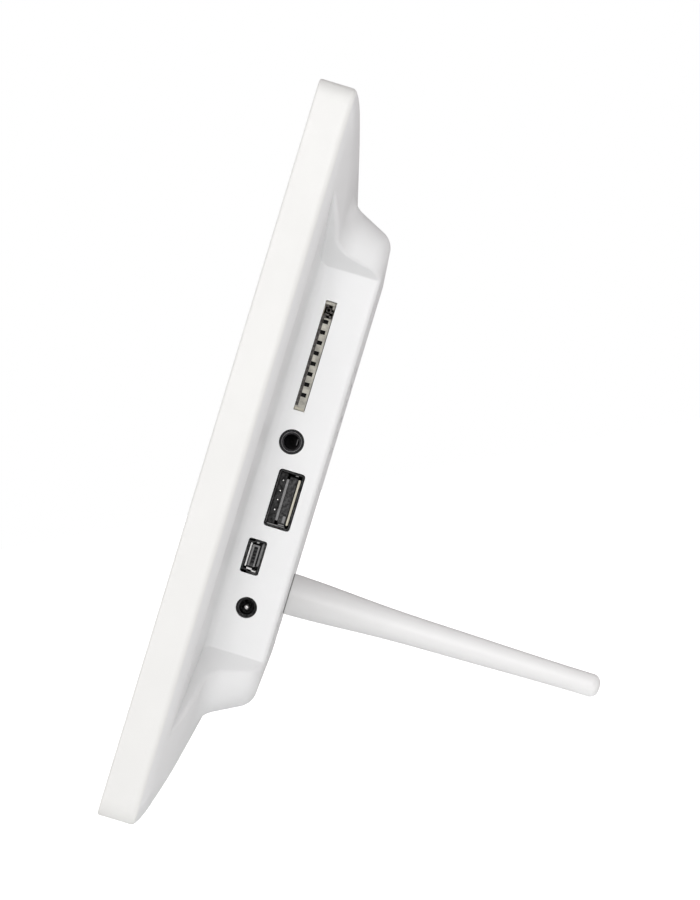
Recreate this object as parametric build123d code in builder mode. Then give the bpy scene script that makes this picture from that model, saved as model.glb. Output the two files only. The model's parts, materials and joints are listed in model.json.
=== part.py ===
from build123d import *
import math
import os

os.makedirs("parts", exist_ok=True)

# Every piece is drawn with the frame lying on its front, as its back is seen on a bench:
# x to the right, y up the panel from its middle, z the depth behind the front face.
# Lengths are millimetres. save() then stands each piece up at the lean the stand gives.

# ---- outside of the panel -----------------------------------------------------------
PANEL_W, PANEL_H = 210.0, 170.0
CORNER_R = 4.0
BEZEL_DEPTH = 8.6
FRONT_EDGE_R = 0.5
# The rear edge's round stops this short of a full quarter, where the cover carries it on.
REAR_EDGE_R, REAR_EDGE_CUT = 1.5, 0.3
WALL, RIM_WALL = 2.0, 2.6
WINDOW_W, WINDOW_H, WINDOW_BEVEL = 161.0, 120.5, 1.4

# The rear cover swells from its rim in one soft slope: inset, depth, corner radius.
DOME_STEPS = (
    (0.6, 8.6, 3.4), (2.2, 9.6, 4.6), (5.5, 10.8, 6.5), (8.5, 11.7, 8.5),
    (16.5, 13.6, 14.0), (25.0, 15.0, 20.0), (33.0, 15.95, 24.0),
)

# The raised box on the cover that holds the electronics.
BACK_DEPTH = 25.75
BOX_HALF_W, BOX_TOP, BOX_BOTTOM = 80.0, 57.0, -53.9
SIDE_DRAFT, TOP_DRAFT, BOTTOM_DRAFT = 18.5, 26.0, 28.5
BOX_ROOT_DEPTH, BOX_ROOT_CORNER_R, BOX_CORNER_R = 11.0, 12.0, 6.5
BOX_EDGE_R, BOX_FOOT_R = 4.8, 6.0

# The bay cut into the box's side for the sockets.
PORT_X = -78.0
BAY_TOP, BAY_BOTTOM, BAY_FLOOR, BAY_REACH = 47.1, -43.9, 11.2, 40.0
BAY_TOP_FLARE, BAY_BOTTOM_FLARE, BAY_FLOOR_TILT = 32.0, 40.0, 2.5
BAY_RIM_R, BAY_ROOT_R = 1.0, 0.5
BAY_COVE_R, COVE_END, COVE_SUNK = 2.0, 1.6, 0.6

# ---- sockets: height up the panel and depth of each centre ---------------------------
SD_Y, SD_DEPTH, SD_W, SD_H = 26.5, 16.3, 26.1, 2.6
AUDIO_Y, AUDIO_DEPTH, AUDIO_BORE_R, AUDIO_BUSH_R = 6.2, 16.8, 1.8, 2.8
USB_Y, USB_DEPTH, USB_W, USB_H = -7.0, 19.1, 13.1, 5.72
MINI_Y, MINI_DEPTH, MINI_W, MINI_H, MINI_NARROW = -21.4, 16.1, 7.7, 3.95, 6.8
DC_Y, DC_DEPTH, DC_HOLE_R, DC_BORE_R, DC_PIN_R = -33.0, 17.9, 2.45, 1.8, 0.65
SHEET = 0.3
PORT_GAP = 0.2

# ---- stand ---------------------------------------------------------------------------
ROD_Y = -30.9
ROD_GAP = 0.3
ROD_BASE = BACK_DEPTH + ROD_GAP
ROD_PROFILE = ((5.35, 0.0), (5.02, 9.0), (4.15, 24.0), (3.58, 45.0), (3.12, 66.0), (3.0, 79.5))
TIP_R, TIP_AT = ROD_PROFILE[-1]
TIP_ROUND = 2.3
STUD_R, STUD_GAP, STUD_LOW, STUD_IN_ROD = 3.5, 0.05, 15.5, 8.0
INSERT_R, WASHER_R, WASHER_THICK = 5.0, 5.2, 1.0
SEAT_DEPTH = BACK_DEPTH - 0.8
INSERT_LOW = 14.95

# ---- display -------------------------------------------------------------------------
MODULE_W, MODULE_H, MODULE_FRONT, MODULE_BACK = 183.0, 141.0, 2.4, 7.0
VIEW_W, VIEW_H = 164.0, 123.5
GLASS_W, GLASS_H, GLASS_THICK = 172.0, 131.0, 1.4
FIT = 0.1

# ---- boards --------------------------------------------------------------------------
BOARD_LEFT, BOARD_RIGHT, BOARD_LOW, BOARD_HIGH = -75.6, -9.5, -49.0, 51.0
BOARD_FRONT, BOARD_THICK = 12.4, 1.6
BOARD_BACK = BOARD_FRONT + BOARD_THICK
BOARD_SCREWS = ((-71.0, -45.5), (-14.0, -45.5), (-71.0, 47.0), (-14.0, 28.0))
COVER_BACK_IN = BACK_DEPTH - WALL

# ---- buttons -------------------------------------------------------------------------
BUTTON_NAMES = ("power", "menu", "left", "enter", "right", "play", "mode")
BUTTON_PITCH, BUTTON_Y = 12.0, 43.0
BUTTON_W, BUTTON_H, BUTTON_GAP, BUTTON_PROUD, BUTTON_TRAVEL = 8.4, 4.4, 0.3, 0.1, 0.5
BUTTON_BOARD_FRONT, BUTTON_BOARD_THICK = 16.6, 1.4
SWITCH_SIZE, SWITCH_TOP, STEM_R, STEM_LOW = 5.0, 21.4, 1.1, 20.3
BUTTON_SCREWS = ((-44.5, BUTTON_Y), (44.5, BUTTON_Y))

# ---- speakers, keyholes and vents -----------------------------------------------------
SPEAKERS = (("left", -40.0), ("right", 40.0))
SPEAKER_Y, SPEAKER_R, SPEAKER_FRONT, MAGNET_FRONT = -34.0, 14.0, 19.0, 17.0
KEYHOLE_X, KEYHOLE_Y, KEYHOLE_R, KEYHOLE_SLOT_R, KEYHOLE_RISE = 42.0, 16.0, 4.0, 2.0, 9.0
VENT_W, VENT_H, VENT_PITCH = 30.0, 1.6, 4.2

# ---- case screws and display clips ----------------------------------------------------
CASE_SCREWS = tuple((x, y) for x in (-70.0, 0.0, 70.0) for y in (-75.0, 75.0))
CASE_SEAM, CASE_HEAD_AT, CASE_POST_TOP = 7.5, 8.7, 10.8
CASE_POST_R, CASE_BOSS_R, CASE_HEAD_R, SCREW_HOLE_R = 4.2, 3.2, 2.6, 1.3
CLIP_SPOTS = tuple((x, y) for x in (-35.0, 35.0) for y in (-74.8, 74.8))
CLIP_BOSS_R, CLIP_SETBACK = 2.8, 4.0
SCREW_SLACK = 0.02

# ---- the lean: the panel's rear bottom edge and the tip of the rod touch one surface ---
EDGE_Y, EDGE_DEPTH = REAR_EDGE_R - PANEL_H / 2, BEZEL_DEPTH + REAR_EDGE_CUT - REAR_EDGE_R
TIP_Y, TIP_DEPTH = ROD_Y - TIP_R + TIP_ROUND, ROD_BASE + TIP_AT
RISE, RUN = TIP_Y - EDGE_Y, TIP_DEPTH - EDGE_DEPTH
LEAN = math.acos((TIP_ROUND - REAR_EDGE_R) / math.hypot(RISE, RUN)) - math.atan2(RUN, RISE)
FLOOR_DROP = EDGE_Y * math.cos(LEAN) - EDGE_DEPTH * math.sin(LEAN) - REAR_EDGE_R
FOREMOST = (FRONT_EDGE_R - PANEL_H / 2) * math.sin(LEAN) + FRONT_EDGE_R * (math.cos(LEAN) - 1)
REARMOST = (2 * ROD_Y - TIP_Y) * math.sin(LEAN) + TIP_DEPTH * math.cos(LEAN) + TIP_ROUND

# The row's frame: +Z up, the screen facing -Y, the socket side at +X, the floor at 0.
STANDING = Location(
    Plane(
        origin=(0, -(FOREMOST + REARMOST) / 2, -FLOOR_DROP),
        x_dir=(-1, 0, 0),
        z_dir=(0, math.cos(LEAN), -math.sin(LEAN)),
    )
)


def save(piece, name):
    """Stand a finished piece up in its place, label it and write its STEP file."""
    piece.part.label = name
    export_step(piece.part.moved(STANDING), f"parts/{name}.step")


def behind(depth):
    """The plane at a depth behind the front face."""
    return Plane.XY.offset(depth)


def port_plane(y, depth, inward=0.0):
    """A socket's plane: local x up the panel, local y to the back, normal into the case."""
    return Plane(origin=(PORT_X + inward, y, depth), x_dir=(0, 1, 0), z_dir=(1, 0, 0))


def pan_screws(spots, head_z, point_z, head_r, head_thick, shank_r):
    """Pan-head screws at the spots, from the head's seat to the point, with a cross recess."""
    facing = 1 if head_z > point_z else -1
    with BuildPart() as screws:
        with BuildSketch(behind(point_z)):
            with Locations(*spots):
                Circle(shank_r)
        extrude(amount=head_z - point_z)
        with BuildSketch(behind(head_z)):
            with Locations(*spots):
                Circle(head_r)
        extrude(amount=facing * head_thick)
        with BuildSketch(behind(head_z + facing * head_thick)):
            with Locations(*spots):
                Rectangle(1.3 * head_r, 0.3 * head_r)
                Rectangle(0.3 * head_r, 1.3 * head_r)
        extrude(amount=-facing * 0.6 * head_thick, mode=Mode.SUBTRACT)
    return screws


# =========================================================================== casing
with BuildPart() as front_bezel:
    with BuildSketch():
        RectangleRounded(PANEL_W, PANEL_H, CORNER_R)
    extrude(amount=BEZEL_DEPTH + REAR_EDGE_CUT)
    fillet(front_bezel.faces().sort_by(Axis.Z)[0].edges(), FRONT_EDGE_R)
    fillet(front_bezel.faces().sort_by(Axis.Z)[-1].edges(), REAR_EDGE_R)
    with BuildSketch(behind(BEZEL_DEPTH)):
        Rectangle(PANEL_W, PANEL_H)
    extrude(amount=1, mode=Mode.SUBTRACT)
    with BuildSketch(behind(WALL)):
        RectangleRounded(PANEL_W - 2 * RIM_WALL, PANEL_H - 2 * RIM_WALL, CORNER_R - WALL)
    extrude(amount=BEZEL_DEPTH, mode=Mode.SUBTRACT)
    with BuildSketch(behind(WALL)):
        Rectangle(MODULE_W + 4, MODULE_H + 4)
        Rectangle(MODULE_W + 1, MODULE_H + 1, mode=Mode.SUBTRACT)
    extrude(amount=4)
    with BuildSketch(behind(WALL)):
        with Locations(*CASE_SCREWS):
            Circle(CASE_BOSS_R)
    extrude(amount=CASE_SEAM - FIT - WALL)
    with BuildSketch(behind(WALL)):
        with Locations(*CLIP_SPOTS):
            Circle(CLIP_BOSS_R)
    extrude(amount=MODULE_BACK - WALL)
    with BuildSketch(behind(WALL + 0.6)):
        with Locations(*CASE_SCREWS, *CLIP_SPOTS):
            Circle(SCREW_HOLE_R)
    extrude(amount=BEZEL_DEPTH, mode=Mode.SUBTRACT)
    with BuildSketch():
        Rectangle(WINDOW_W + 2 * WINDOW_BEVEL, WINDOW_H + 2 * WINDOW_BEVEL)
    with BuildSketch(behind(WALL)):
        Rectangle(WINDOW_W, WINDOW_H)
    loft(mode=Mode.SUBTRACT)
save(front_bezel, "front_bezel")


def cover_form(wall, foot_r):
    """The cover's swelling dome and raised box as one solid, its walls moved in by wall."""
    side_slope, top_slope, bottom_slope = (
        math.tan(math.radians(draft)) for draft in (SIDE_DRAFT, TOP_DRAFT, BOTTOM_DRAFT)
    )
    with BuildPart() as box:
        for depth, corner_r in ((BOX_ROOT_DEPTH, BOX_ROOT_CORNER_R), (BACK_DEPTH, BOX_CORNER_R)):
            drop = BACK_DEPTH - depth
            half_w = BOX_HALF_W + drop * side_slope - wall
            top = BOX_TOP + drop * top_slope - wall
            bottom = BOX_BOTTOM - drop * bottom_slope + wall
            with BuildSketch(behind(depth - wall)):
                with Locations((0, (top + bottom) / 2)):
                    RectangleRounded(2 * half_w, top - bottom, corner_r - wall)
        loft()
        fillet(box.faces().sort_by(Axis.Z)[-1].edges(), BOX_EDGE_R - wall)
    with BuildPart() as form:
        for inset, depth, corner_r in DOME_STEPS:
            with BuildSketch(behind(depth - wall)):
                RectangleRounded(PANEL_W - 2 * inset, PANEL_H - 2 * inset, corner_r)
        loft()
        dome_edges = form.edges()
        add(box.part)
        if foot_r > 0:
            foot = (form.edges() - dome_edges - box.edges()).filter_by(GeomType.BSPLINE)
            fillet(foot.filter_by(lambda edge: edge.center().Z < BOX_ROOT_DEPTH + 5), foot_r)
    return form.part


def bay_form(grow):
    """The space of the socket bay, its walls moved out by grow. Its floor falls outwards."""
    tilt = math.radians(BAY_FLOOR_TILT)
    floor = Plane(
        origin=(PORT_X + grow, 0, BAY_FLOOR - grow),
        x_dir=(math.cos(tilt), 0, math.sin(tilt)),
        z_dir=(-math.sin(tilt), 0, math.cos(tilt)),
    )
    top, bottom = BAY_TOP + grow, BAY_BOTTOM - grow
    with BuildPart() as bay:
        with BuildSketch(floor):
            with BuildLine():
                Polyline(
                    (0, top),
                    (-BAY_REACH, top + BAY_REACH * math.tan(math.radians(BAY_TOP_FLARE))),
                    (-BAY_REACH, bottom - BAY_REACH * math.tan(math.radians(BAY_BOTTOM_FLARE))),
                    (0, bottom),
                    close=True,
                )
            make_face()
        extrude(amount=BACK_DEPTH, dir=(0, 0, 1))
        if grow == 0:
            fillet(bay.edges().filter_by(Axis.Z).sort_by(Axis.X)[-2:], BAY_ROOT_R)
    return bay.part


with BuildPart() as cover_hollow:
    add(cover_form(WALL, 0))
    add(bay_form(WALL), mode=Mode.SUBTRACT)

with BuildPart() as rear_cover:
    add(cover_form(0, BOX_FOOT_R))
    uncut_edges = rear_cover.edges()
    add(bay_form(0), mode=Mode.SUBTRACT)
    bay_edges = (rear_cover.edges() - uncut_edges).filter_by_position(Axis.Z, BAY_FLOOR + 0.3, BACK_DEPTH)
    bay_ends = bay_edges.filter_by_position(Axis.X, -PANEL_W / 2, PORT_X - 0.7)
    fillet(bay_ends.filter_by_position(Axis.Y, BOX_BOTTOM, BOX_TOP), BAY_RIM_R)
    add(cover_hollow.part, mode=Mode.SUBTRACT)
    # A cove runs along the foot of the sockets' wall.
    cove_drop = BAY_COVE_R * math.tan(math.radians(BAY_FLOOR_TILT))
    cove_foot = (PORT_X - BAY_COVE_R, BAY_FLOOR - cove_drop)
    cove_head = (PORT_X, BAY_FLOOR + BAY_COVE_R)
    with BuildSketch(Plane.XZ.offset(-BAY_TOP - COVE_END)):
        with BuildLine():
            RadiusArc(cove_foot, cove_head, -BAY_COVE_R)
            Polyline(
                cove_head, (PORT_X + COVE_SUNK, cove_head[1]), (PORT_X + COVE_SUNK, BAY_FLOOR - COVE_SUNK),
                (cove_foot[0], BAY_FLOOR - COVE_SUNK), cove_foot,
            )
        make_face()
    extrude(amount=BAY_TOP - BAY_BOTTOM + 2 * COVE_END)
    # A lip round the rim slips inside the bezel.
    with BuildSketch(behind(BEZEL_DEPTH - 1.2)):
        RectangleRounded(PANEL_W - 2 * RIM_WALL - 0.4, PANEL_H - 2 * RIM_WALL - 0.4, 1.8)
        RectangleRounded(PANEL_W - 2 * RIM_WALL - 3.0, PANEL_H - 2 * RIM_WALL - 3.0, 0.6, mode=Mode.SUBTRACT)
    extrude(amount=2.0)
    # Bosses stand on the inside: case screws, main board, button board, stand insert.
    with BuildSketch(behind(CASE_SEAM)):
        with Locations(*CASE_SCREWS):
            Circle(CASE_POST_R)
    extrude(amount=CASE_POST_TOP - CASE_SEAM)
    with BuildSketch(behind(BOARD_BACK)):
        with Locations(*BOARD_SCREWS):
            Circle(3.0)
    extrude(amount=COVER_BACK_IN - BOARD_BACK + FIT)
    with BuildSketch(behind(BUTTON_BOARD_FRONT + BUTTON_BOARD_THICK)):
        with Locations(*BUTTON_SCREWS):
            Circle(2.4)
    extrude(amount=COVER_BACK_IN - BUTTON_BOARD_FRONT - BUTTON_BOARD_THICK + FIT)
    with BuildSketch(behind(INSERT_LOW - 1)):
        with Locations((0, ROD_Y)):
            Circle(8.0)
    extrude(amount=COVER_BACK_IN - INSERT_LOW + 1 + FIT)
    with BuildSketch(behind(SPEAKER_FRONT + 1.5)):
        with Locations(*((x, SPEAKER_Y) for _, x in SPEAKERS)):
            Circle(SPEAKER_R + 1.4)
            Circle(SPEAKER_R + 0.15, mode=Mode.SUBTRACT)
    extrude(amount=COVER_BACK_IN - SPEAKER_FRONT - 1.5 + FIT)
    # Screw holes.
    with BuildSketch(behind(CASE_SEAM)):
        with Locations(*CASE_SCREWS):
            Circle(1.6)
    extrude(amount=BOX_ROOT_DEPTH, mode=Mode.SUBTRACT)
    with BuildSketch(behind(CASE_HEAD_AT)):
        with Locations(*CASE_SCREWS):
            Circle(2.9)
    extrude(amount=BOX_ROOT_DEPTH, mode=Mode.SUBTRACT)
    with BuildSketch(behind(BOARD_BACK)):
        with Locations(*BOARD_SCREWS):
            Circle(1.1)
        with Locations(*BUTTON_SCREWS):
            Circle(0.9)
    extrude(amount=COVER_BACK_IN - BOARD_BACK - 1, mode=Mode.SUBTRACT)
    # The stand's hole, with a seat for its washer.
    with BuildSketch(behind(INSERT_LOW)):
        with Locations((0, ROD_Y)):
            Circle(INSERT_R)
    extrude(amount=BACK_DEPTH, mode=Mode.SUBTRACT)
    with BuildSketch(behind(INSERT_LOW - 1)):
        with Locations((0, ROD_Y)):
            Circle(STUD_R + 0.5)
    extrude(amount=2, mode=Mode.SUBTRACT)
    with BuildSketch(behind(SEAT_DEPTH)):
        with Locations((0, ROD_Y)):
            Circle(WASHER_R + 0.4)
    extrude(amount=BACK_DEPTH, mode=Mode.SUBTRACT)
    # Buttons, keyholes, vents and speaker grilles go through the back wall.
    with BuildSketch(behind(COVER_BACK_IN - 0.5)):
        with Locations((0, BUTTON_Y)):
            with GridLocations(BUTTON_PITCH, 0, len(BUTTON_NAMES), 1):
                SlotOverall(BUTTON_W + 2 * BUTTON_GAP, BUTTON_H + 2 * BUTTON_GAP)
        with Locations((-KEYHOLE_X, KEYHOLE_Y), (KEYHOLE_X, KEYHOLE_Y)):
            Circle(KEYHOLE_R)
        with Locations(*((side * KEYHOLE_X, KEYHOLE_Y + KEYHOLE_RISE / 2) for side in (-1, 1))):
            SlotCenterToCenter(KEYHOLE_RISE, 2 * KEYHOLE_SLOT_R, rotation=90)
        with Locations((0, 0.5 * BUTTON_Y - VENT_PITCH)):
            with GridLocations(0, VENT_PITCH, 1, 6):
                SlotOverall(VENT_W, VENT_H)
        for _, x in SPEAKERS:
            for row in range(-3, 4):
                half_row = math.sqrt((SPEAKER_R - 3) ** 2 - (row * 3.0) ** 2)
                with Locations((x, SPEAKER_Y + row * 3.0)):
                    SlotOverall(2 * half_row, 1.4)
    extrude(amount=BACK_DEPTH, mode=Mode.SUBTRACT)
    # Openings in the bay's wall, one for each socket.
    with BuildSketch(port_plane(SD_Y, SD_DEPTH, -1)):
        Rectangle(SD_W, SD_H)
    extrude(amount=WALL + 2, mode=Mode.SUBTRACT)
    with BuildSketch(port_plane(AUDIO_Y, AUDIO_DEPTH, -1)):
        Circle(AUDIO_BUSH_R + PORT_GAP / 2)
    extrude(amount=WALL + 2, mode=Mode.SUBTRACT)
    with BuildSketch(port_plane(USB_Y, USB_DEPTH, -1)):
        RectangleRounded(USB_W + 2.4 * PORT_GAP, USB_H + 2.4 * PORT_GAP, 0.8)
    extrude(amount=WALL + 2, mode=Mode.SUBTRACT)
    with BuildSketch(port_plane(MINI_Y, MINI_DEPTH, -1)):
        RectangleRounded(MINI_W + 2 * PORT_GAP, MINI_H + 2 * PORT_GAP, 0.6)
    extrude(amount=WALL + 2, mode=Mode.SUBTRACT)
    with BuildSketch(port_plane(DC_Y, DC_DEPTH, -1)):
        Circle(DC_HOLE_R)
    extrude(amount=WALL + 2, mode=Mode.SUBTRACT)
save(rear_cover, "rear_cover")

case_screws = pan_screws(CASE_SCREWS, CASE_HEAD_AT, 3.2, CASE_HEAD_R, 1.5, SCREW_HOLE_R - SCREW_SLACK)
save(case_screws, "case_screws")

# =========================================================================== display
with BuildPart() as display_gasket:
    with BuildSketch(behind(WALL)):
        Rectangle(MODULE_W - 2, MODULE_H - 2)
        Rectangle(WINDOW_W + 2, WINDOW_H + 2, mode=Mode.SUBTRACT)
    extrude(amount=MODULE_FRONT - WALL)
save(display_gasket, "display_gasket")

with BuildPart() as display_frame:
    with BuildSketch(behind(MODULE_FRONT)):
        RectangleRounded(MODULE_W, MODULE_H, 1.0)
    extrude(amount=MODULE_BACK - MODULE_FRONT)
    with BuildSketch(behind(MODULE_FRONT + SHEET)):
        RectangleRounded(MODULE_W - 2 * SHEET, MODULE_H - 2 * SHEET, 0.7)
    extrude(amount=BEZEL_DEPTH, mode=Mode.SUBTRACT)
    with BuildSketch(behind(MODULE_FRONT)):
        Rectangle(VIEW_W, VIEW_H)
    extrude(amount=1, mode=Mode.SUBTRACT)
save(display_frame, "display_frame")

GLASS_FRONT = MODULE_FRONT + SHEET
with BuildPart() as display_glass:
    with BuildSketch(behind(GLASS_FRONT)):
        Rectangle(GLASS_W, GLASS_H)
    extrude(amount=GLASS_THICK)
save(display_glass, "display_glass")

with BuildPart() as backlight_tray:
    with BuildSketch(behind(GLASS_FRONT)):
        RectangleRounded(MODULE_W - 2 * SHEET - 2 * FIT, MODULE_H - 2 * SHEET - 2 * FIT, 0.8)
    extrude(amount=MODULE_BACK - GLASS_FRONT)
    with BuildSketch(behind(GLASS_FRONT)):
        Rectangle(GLASS_W + 2 * FIT, GLASS_H + 2 * FIT)
    extrude(amount=MODULE_BACK - GLASS_FRONT - 0.8, mode=Mode.SUBTRACT)
save(backlight_tray, "backlight_tray")

with BuildPart() as light_guide:
    with BuildSketch(behind(GLASS_FRONT + GLASS_THICK + FIT)):
        Rectangle(GLASS_W, GLASS_H)
    extrude(amount=MODULE_BACK - GLASS_FRONT - GLASS_THICK - 0.8 - 2 * FIT)
save(light_guide, "light_guide")

DRIVER_Y, DRIVER_FRONT, DRIVER_THICK = -55.0, MODULE_BACK + FIT, 1.0
with BuildPart() as driver_board:
    with BuildSketch(behind(DRIVER_FRONT)):
        with Locations((0, DRIVER_Y)):
            Rectangle(130, 16)
    extrude(amount=DRIVER_THICK)
    with BuildSketch(behind(DRIVER_FRONT + DRIVER_THICK)):
        with Locations((-48, DRIVER_Y), (-4, DRIVER_Y), (30, DRIVER_Y)):
            Rectangle(9, 6)
    extrude(amount=1.0)
save(driver_board, "driver_board")

with BuildPart() as display_clips:
    with BuildSketch(behind(MODULE_BACK + FIT / 2)):
        for x, y in CLIP_SPOTS:
            with Locations((x, y - math.copysign(CLIP_SETBACK, y))):
                RectangleRounded(9, 14, 1.0)
        with Locations(*CLIP_SPOTS):
            Circle(1.5, mode=Mode.SUBTRACT)
    extrude(amount=0.6)
save(display_clips, "display_clips")

CLIP_TOP = MODULE_BACK + FIT / 2 + 0.6
save(pan_screws(CLIP_SPOTS, CLIP_TOP, 3.2, 1.9, 0.8, SCREW_HOLE_R - SCREW_SLACK), "clip_screws")

# =========================================================================== boards
with BuildPart() as main_board:
    with BuildSketch(behind(BOARD_FRONT)):
        with Locations(((BOARD_LEFT + BOARD_RIGHT) / 2, (BOARD_LOW + BOARD_HIGH) / 2)):
            Rectangle(BOARD_RIGHT - BOARD_LEFT, BOARD_HIGH - BOARD_LOW)
        with Locations(*BOARD_SCREWS):
            Circle(1.4, mode=Mode.SUBTRACT)
    extrude(amount=BOARD_THICK)
save(main_board, "main_board")

save(pan_screws(BOARD_SCREWS, BOARD_FRONT, 19.5, 2.3, 1.1, 1.1 - SCREW_SLACK), "board_screws")

CHIPS = ((-33, -4, 16, 16, 1.5), (-27, 17, 10, 18, 1.1), (-54, -12, 8, 12, 1.0), (-55, 1, 6, 6, 1.0))
with BuildPart() as board_chips:
    for x, y, width, height, thick in CHIPS:
        with BuildSketch(behind(BOARD_BACK)):
            with Locations((x, y)):
                Rectangle(width, height)
        extrude(amount=thick)
save(board_chips, "board_chips")

CAPACITORS = ((-61.0, -42.0), (-17.0, -20.0), (-17.0, -31.0), (-60.0, -22.0))
with BuildPart() as board_capacitors:
    with BuildSketch(behind(BOARD_BACK)):
        with Locations(*CAPACITORS):
            Circle(2.5)
    extrude(amount=2.8)
    fillet(board_capacitors.faces().sort_by(Axis.Z)[-len(CAPACITORS):].edges(), 0.4)
save(board_capacitors, "board_capacitors")

RIBBON_X, RIBBON_W, RIBBON_DEPTH, RIBBON_THICK, RIBBON_BEND = -32.0, 24.0, 15.2, 0.2, 0.5
SPEAKER_PLUGS = {"left": (-22.0, -13.0), "right": (-13.0, -13.0)}
PLUG_SIZE, PLUG_H = 4.0, 3.6
BUTTON_PLUG = (-26.0, 33.5)
with BuildPart() as board_connectors:
    with BuildSketch(behind(BOARD_BACK)):
        with Locations((RIBBON_X, BOARD_LOW + 2.2)):
            Rectangle(RIBBON_W + 4, 4.0)
        with Locations(BUTTON_PLUG):
            Rectangle(12, 4.0)
    extrude(amount=2.4)
    with BuildSketch(behind(BOARD_BACK)):
        with Locations(*SPEAKER_PLUGS.values()):
            Rectangle(PLUG_SIZE, PLUG_SIZE)
    extrude(amount=PLUG_H)
save(board_connectors, "board_connectors")


def ribbon(path, x, width):
    """A flat flexible cable bent along a path in the plane across the panel's width."""
    with BuildPart() as flat:
        with BuildSketch(Plane.YZ.offset(x - width / 2)):
            with BuildLine() as route:
                FilletPolyline(*path, radius=RIBBON_BEND)
            trace(route.line, RIBBON_THICK)
        extrude(amount=width)
    return flat


DRIVER_TOP = DRIVER_FRONT + DRIVER_THICK + RIBBON_THICK / 2
display_ribbon = ribbon(
    ((DRIVER_Y + 1, DRIVER_TOP), (BOARD_LOW - 3, DRIVER_TOP), (BOARD_LOW - 3, RIBBON_DEPTH),
     (BOARD_LOW + 0.2, RIBBON_DEPTH)),
    RIBBON_X + 6,
    RIBBON_W / 2,
)
save(display_ribbon, "display_ribbon")

# =========================================================================== sockets
SOCKET_FACE = WALL + 0.1
SD_LONG, SD_BODY_W, SD_RIM = 20.0, 28.6, 0.2
SD_FLOOR, SD_ROOF = BOARD_BACK, SD_DEPTH + SD_H / 2
SD_MOUTH_W, SD_MOUTH_H = SD_W - 2 * SD_RIM, SD_H - 2 * SD_RIM
SD_END_WALL, SD_PITCH, SD_CONTACTS, SD_WINDOW_W, SD_WINDOW_H = 9.3, 2.5, 8, 1.0, 0.85
SD_FIRST_Y = SD_Y + SD_W / 2 - 4.8
SD_CONTACT_Y = tuple(SD_FIRST_Y - SD_PITCH * i for i in range(SD_CONTACTS))
SD_WINDOW_DEPTH = SD_DEPTH + 0.05
SD_LATCH_W = 3.0
with BuildPart() as sd_body:
    with BuildSketch(port_plane(SD_Y, 0, SOCKET_FACE)):
        with Locations((0, (SD_FLOOR + SD_ROOF) / 2)):
            Rectangle(SD_BODY_W, SD_ROOF - SD_FLOOR)
    extrude(amount=SD_LONG)
    with BuildSketch(port_plane(SD_Y, SD_DEPTH, SOCKET_FACE)):
        Rectangle(SD_MOUTH_W, SD_MOUTH_H)
    extrude(amount=SD_END_WALL, mode=Mode.SUBTRACT)
    # The end wall has a square window for each contact, and a deeper pocket for the latch.
    with BuildSketch(port_plane(0, SD_WINDOW_DEPTH, SOCKET_FACE + SD_END_WALL)):
        with Locations(*((y, 0) for y in SD_CONTACT_Y)):
            Rectangle(SD_WINDOW_W, SD_WINDOW_H)
    extrude(amount=4.0, mode=Mode.SUBTRACT)
    with BuildSketch(port_plane(SD_Y, SD_DEPTH, SOCKET_FACE + SD_END_WALL)):
        with Locations((SD_MOUTH_W / 2 - SD_LATCH_W / 2 - 0.6, 0)):
            Rectangle(SD_LATCH_W, SD_MOUTH_H)
    extrude(amount=6.0, mode=Mode.SUBTRACT)
save(sd_body, "sd_socket_body")

with BuildPart() as sd_shell:
    with BuildSketch(port_plane(SD_Y, SD_ROOF + SHEET / 2, SOCKET_FACE)):
        Rectangle(SD_BODY_W, SHEET)
    extrude(amount=SD_LONG)
    with BuildSketch(behind(SD_ROOF)):
        with Locations((PORT_X + SOCKET_FACE + SD_LONG / 2, SD_Y)):
            with GridLocations(0, 14, 1, 2):
                Rectangle(6, 2)
    extrude(amount=1, mode=Mode.SUBTRACT)
save(sd_shell, "sd_socket_shell")

with BuildPart() as sd_contacts:
    with BuildSketch(port_plane(0, SD_WINDOW_DEPTH - 0.2, SOCKET_FACE + SD_END_WALL + 1.5)):
        with Locations(*((y, 0) for y in SD_CONTACT_Y)):
            Rectangle(0.7, 0.2)
    extrude(amount=2.5)
save(sd_contacts, "sd_contacts")

with BuildPart() as sd_latch:
    with BuildSketch(port_plane(SD_Y, SD_DEPTH, SOCKET_FACE + SD_END_WALL + 1.5)):
        with Locations((SD_MOUTH_W / 2 - SD_LATCH_W / 2 - 0.6, 0)):
            Rectangle(SD_LATCH_W - 0.6, 1.2)
    extrude(amount=4.4)
save(sd_latch, "sd_latch")

AUDIO_LONG, AUDIO_FLUSH, AUDIO_LEDGE_R, AUDIO_LEDGE = 12.0, 0.15, 2.3, 0.25
with BuildPart() as audio_jack:
    with BuildSketch(port_plane(AUDIO_Y, 0, SOCKET_FACE)):
        with Locations((0, (BOARD_BACK + AUDIO_DEPTH + 2.9) / 2)):
            Rectangle(6.2, AUDIO_DEPTH + 2.9 - BOARD_BACK)
    extrude(amount=AUDIO_LONG)
    with BuildSketch(port_plane(AUDIO_Y, AUDIO_DEPTH, AUDIO_FLUSH)):
        Circle(AUDIO_BUSH_R)
    extrude(amount=SOCKET_FACE)
    with BuildSketch(port_plane(AUDIO_Y, AUDIO_DEPTH, AUDIO_FLUSH)):
        Circle(AUDIO_BORE_R)
    extrude(amount=AUDIO_LONG, mode=Mode.SUBTRACT)
    with BuildSketch(port_plane(AUDIO_Y, AUDIO_DEPTH, AUDIO_FLUSH)):
        Circle(AUDIO_LEDGE_R)
    extrude(amount=AUDIO_LEDGE, mode=Mode.SUBTRACT)
save(audio_jack, "audio_jack")

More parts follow.
